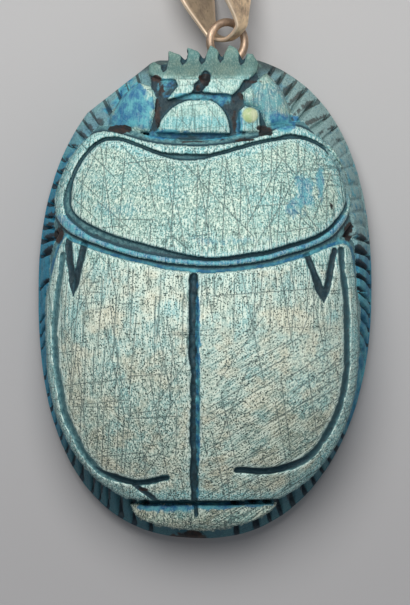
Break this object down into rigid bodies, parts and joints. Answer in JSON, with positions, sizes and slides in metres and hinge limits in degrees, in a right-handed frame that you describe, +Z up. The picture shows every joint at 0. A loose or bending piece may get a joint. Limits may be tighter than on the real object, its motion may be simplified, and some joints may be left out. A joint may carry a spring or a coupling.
{
  "type": "scarab amulet",
  "caption": "Oval carved beetle amulet with ridged sides and toothed head, flat underneath, with a small gold ring and folded bail at the head.",
  "frame": {"origin": "middle of the flat underside", "axes": "+Z up through the beetle's back, +Y towards its head, +X to the right seen from above with the head away"},
  "size_m": [0.0284, 0.052, 0.0149],
  "materials": {
    "glazed_stone": "worn celadon glaze over carved steatite, blue in the cuts",
    "worn_gold": "worn low-carat gold"
  },
  "bodies": {
    "root": {"scarab": "glazed_stone", "hanging_ring": "worn_gold", "bail": "worn_gold"}
  },
  "joints": []
}
